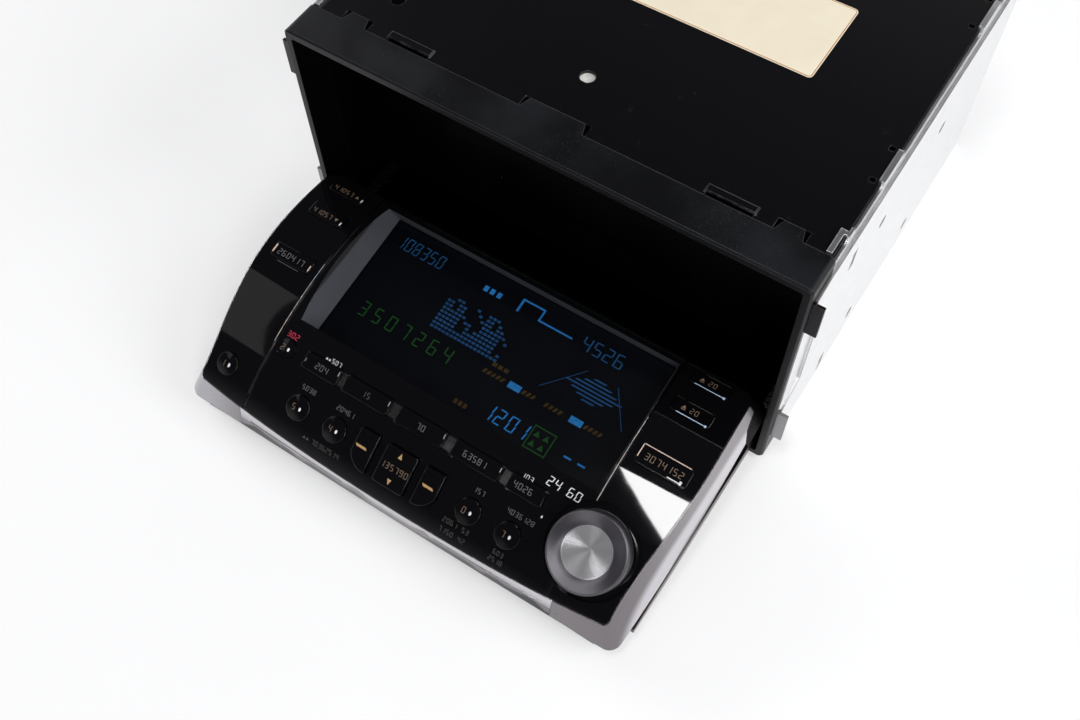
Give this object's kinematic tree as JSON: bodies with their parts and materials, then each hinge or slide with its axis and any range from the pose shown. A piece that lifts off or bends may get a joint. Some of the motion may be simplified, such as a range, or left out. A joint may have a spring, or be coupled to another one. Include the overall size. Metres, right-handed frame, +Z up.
{
  "type": "car stereo head unit",
  "caption": "Double-height car stereo head unit with a motorised fold-down panel, shown open in front of its disc slot and cartridge slot.",
  "frame": {"origin": "middle of the flat underside of the case", "axes": "+X to the right seen from the front, +Y back into the dash, +Z up"},
  "size_m": [0.1852, 0.2536, 0.0986],
  "materials": {
    "zinc_steel": "zinc-plated sheet",
    "black_paint": "satin black",
    "black_plastic": "fine texture",
    "inner_plastic": "moulded, semi-matt",
    "gloss_black": "piano gloss",
    "key_black": "gloss",
    "silver_paint": "silver metallic paint",
    "smoked_glass": "smoked window",
    "display_panel": "segment display",
    "circuit_board": "solder mask",
    "aluminium": "spun",
    "sink_aluminium": "extruded",
    "plated_metal": "nickel plate",
    "rubber": "matt",
    "white_nylon": "moulded nylon",
    "brass": "turned"
  },
  "bodies": {
    "case": {"chassis_tray": "zinc_steel", "top_cover": "black_paint", "front_frame": "black_plastic", "side_bracket_left": "zinc_steel", "side_bracket_right": "zinc_steel", "inner_fascia": "inner_plastic", "rear_panel": "zinc_steel", "heat_sink": "sink_aluminium", "power_socket": "white_nylon", "antenna_socket": "plated_metal", "line_jacks": "inner_plastic", "main_board": "circuit_board", "disc_frame": "zinc_steel", "guide_rods": "plated_metal", "cartridge_holder": "zinc_steel", "drive_motor": "plated_metal", "case_screws": "plated_metal"},
    "carriage": {"arm_left": "zinc_steel", "arm_right": "zinc_steel", "arm_crossbar": "zinc_steel", "hinge_pins": "plated_metal"},
    "panel": {"front_fascia": "gloss_black", "rear_shell": "inner_plastic", "side_trim_left": "silver_paint", "side_trim_right": "silver_paint", "lower_trim": "silver_paint", "display_glass": "smoked_glass", "display_module": "display_panel", "panel_board": "circuit_board", "key_mat": "rubber", "key_carrier": "circuit_board", "encoder": "inner_plastic", "panel_screws": "plated_metal"},
    "feed_roller_body": {"feed_roller": "rubber"},
    "turntable_body": {"turntable": "inner_plastic"},
    "pickup_sled_body": {"pickup_sled": "inner_plastic"},
    "cartridge_flap_body": {"cartridge_flap": "inner_plastic"},
    "drive_shaft_body": {"drive_shaft": "white_nylon"},
    "motor_pinion_body": {"motor_pinion": "brass"},
    "volume_knob_body": {"volume_knob": "aluminium"},
    "select_rocker_body": {"select_rocker": "key_black"},
    "angle_up_key_body": {"angle_up_key": "key_black"},
    "angle_down_key_body": {"angle_down_key": "key_black"},
    "change_key_body": {"change_key": "key_black"},
    "disc_eject_key_body": {"disc_eject_key": "key_black"},
    "cartridge_eject_key_body": {"cartridge_eject_key": "key_black"},
    "enter_key_body": {"enter_key": "key_black"},
    "row_key_1_body": {"row_key_1": "key_black"},
    "row_key_2_body": {"row_key_2": "key_black"},
    "row_key_3_body": {"row_key_3": "key_black"},
    "row_key_4_body": {"row_key_4": "key_black"},
    "row_key_5_body": {"row_key_5": "key_black"},
    "round_key_1_body": {"round_key_1": "key_black"},
    "round_key_2_body": {"round_key_2": "key_black"},
    "round_key_3_body": {"round_key_3": "key_black"},
    "round_key_4_body": {"round_key_4": "key_black"},
    "timer_key_body": {"timer_key": "key_black"},
    "record_key_body": {"record_key": "key_black"},
    "select_left_key_body": {"select_left_key": "key_black"},
    "select_right_key_body": {"select_right_key": "key_black"}
  },
  "joints": [
    {"name": "panel_slide", "type": "slide", "parent": "case", "child": "carriage", "axis": [0, 1, 0], "range_m": [0, 0.0835]},
    {"name": "panel_hinge", "type": "hinge", "parent": "carriage", "child": "panel", "pos_m": [0, -0.1641, 0.01], "axis": [1, 0, 0], "range_deg": [0, 81.32]},
    {"name": "drive_shaft_spin", "type": "hinge", "parent": "case", "child": "drive_shaft_body", "pos_m": [0, -0.0406, 0.0138], "axis": [1, 0, 0], "range_deg": [-1, 800]},
    {"name": "motor_spin", "type": "hinge", "parent": "case", "child": "motor_pinion_body", "pos_m": [0, -0.0261, 0.0138], "axis": [1, 0, 0], "range_deg": [-2514, 1]},
    {"name": "feed_roller_spin", "type": "hinge", "parent": "case", "child": "feed_roller_body", "pos_m": [0, -0.0459, 0.0628], "axis": [1, 0, 0], "continuous": true},
    {"name": "turntable_spin", "type": "hinge", "parent": "case", "child": "turntable_body", "pos_m": [0, 0.0094, 0.058], "axis": [0, 0, 1], "continuous": true},
    {"name": "pickup_slide", "type": "slide", "parent": "case", "child": "pickup_sled_body", "axis": [-1, 0, 0], "range_m": [0, 0.031]},
    {"name": "flap_hinge", "type": "hinge", "parent": "case", "child": "cartridge_flap_body", "pos_m": [0.004, -0.05265, 0.0366], "axis": [1, 0, 0], "range_deg": [0, 85], "stiffness_Nm_per_rad": 0.004, "springref_deg": -11.46},
    {"name": "volume_spin", "type": "hinge", "parent": "panel", "child": "volume_knob_body", "pos_m": [0.0642, -0.15207, 0.02531], "axis": [0, -0.4661, 0.8847], "continuous": true},
    {"name": "select_rock", "type": "hinge", "parent": "panel", "child": "select_rocker_body", "pos_m": [-0.002, -0.15863, 0.01799], "axis": [1, 0, 0], "range_deg": [-3, 3], "stiffness_Nm_per_rad": 0.05},
    {"name": "angle_up_key_press", "type": "slide", "parent": "panel", "child": "angle_up_key_body", "axis": [0, -0.1079, -0.9942], "range_m": [0, 0.0006], "stiffness_N_per_m": 300},
    {"name": "angle_down_key_press", "type": "slide", "parent": "panel", "child": "angle_down_key_body", "axis": [0, 0.001, -1], "range_m": [0, 0.0006], "stiffness_N_per_m": 300},
    {"name": "change_key_press", "type": "slide", "parent": "panel", "child": "change_key_body", "axis": [0, 0.1825, -0.9832], "range_m": [0, 0.0006], "stiffness_N_per_m": 300},
    {"name": "disc_eject_key_press", "type": "slide", "parent": "panel", "child": "disc_eject_key_body", "axis": [0, -0.1117, -0.9937], "range_m": [0, 0.0006], "stiffness_N_per_m": 300},
    {"name": "cartridge_eject_key_press", "type": "slide", "parent": "panel", "child": "cartridge_eject_key_body", "axis": [0, -0.0028, -1], "range_m": [0, 0.0006], "stiffness_N_per_m": 300},
    {"name": "enter_key_press", "type": "slide", "parent": "panel", "child": "enter_key_body", "axis": [0, 0.1797, -0.9837], "range_m": [0, 0.0006], "stiffness_N_per_m": 300},
    {"name": "row_key_1_press", "type": "slide", "parent": "panel", "child": "row_key_1_body", "axis": [0, 0.4172, -0.9088], "range_m": [0, 0.0006], "stiffness_N_per_m": 300},
    {"name": "row_key_2_press", "type": "slide", "parent": "panel", "child": "row_key_2_body", "axis": [0, 0.4172, -0.9088], "range_m": [0, 0.0006], "stiffness_N_per_m": 300},
    {"name": "row_key_3_press", "type": "slide", "parent": "panel", "child": "row_key_3_body", "axis": [0, 0.4172, -0.9088], "range_m": [0, 0.0006], "stiffness_N_per_m": 300},
    {"name": "row_key_4_press", "type": "slide", "parent": "panel", "child": "row_key_4_body", "axis": [0, 0.4172, -0.9088], "range_m": [0, 0.0006], "stiffness_N_per_m": 300},
    {"name": "row_key_5_press", "type": "slide", "parent": "panel", "child": "row_key_5_body", "axis": [0, 0.4172, -0.9088], "range_m": [0, 0.0006], "stiffness_N_per_m": 300},
    {"name": "round_key_1_press", "type": "slide", "parent": "panel", "child": "round_key_1_body", "axis": [0, 0.54, -0.8416], "range_m": [0, 0.0006], "stiffness_N_per_m": 300},
    {"name": "round_key_2_press", "type": "slide", "parent": "panel", "child": "round_key_2_body", "axis": [0, 0.54, -0.8416], "range_m": [0, 0.0006], "stiffness_N_per_m": 300},
    {"name": "round_key_3_press", "type": "slide", "parent": "panel", "child": "round_key_3_body", "axis": [0, 0.54, -0.8416], "range_m": [0, 0.0006], "stiffness_N_per_m": 300},
    {"name": "round_key_4_press", "type": "slide", "parent": "panel", "child": "round_key_4_body", "axis": [0, 0.54, -0.8416], "range_m": [0, 0.0006], "stiffness_N_per_m": 300},
    {"name": "timer_key_press", "type": "slide", "parent": "panel", "child": "timer_key_body", "axis": [0, 0.5369, -0.8437], "range_m": [0, 0.0006], "stiffness_N_per_m": 300},
    {"name": "record_key_press", "type": "slide", "parent": "panel", "child": "record_key_body", "axis": [0, 0.4197, -0.9077], "range_m": [0, 0.0006], "stiffness_N_per_m": 300},
    {"name": "select_left_key_press", "type": "slide", "parent": "panel", "child": "select_left_key_body", "axis": [0, 0.5432, -0.8396], "range_m": [0, 0.0006], "stiffness_N_per_m": 300},
    {"name": "select_right_key_press", "type": "slide", "parent": "panel", "child": "select_right_key_body", "axis": [0, 0.5432, -0.8396], "range_m": [0, 0.0006], "stiffness_N_per_m": 300}
  ],
  "couplings": [
    {"joint": "panel_hinge", "follows": "panel_slide", "rad_per_m": 15.886},
    {"joint": "drive_shaft_spin", "follows": "panel_slide", "rad_per_m": 156.25},
    {"joint": "motor_spin", "follows": "panel_slide", "rad_per_m": -491.07}
  ]
}
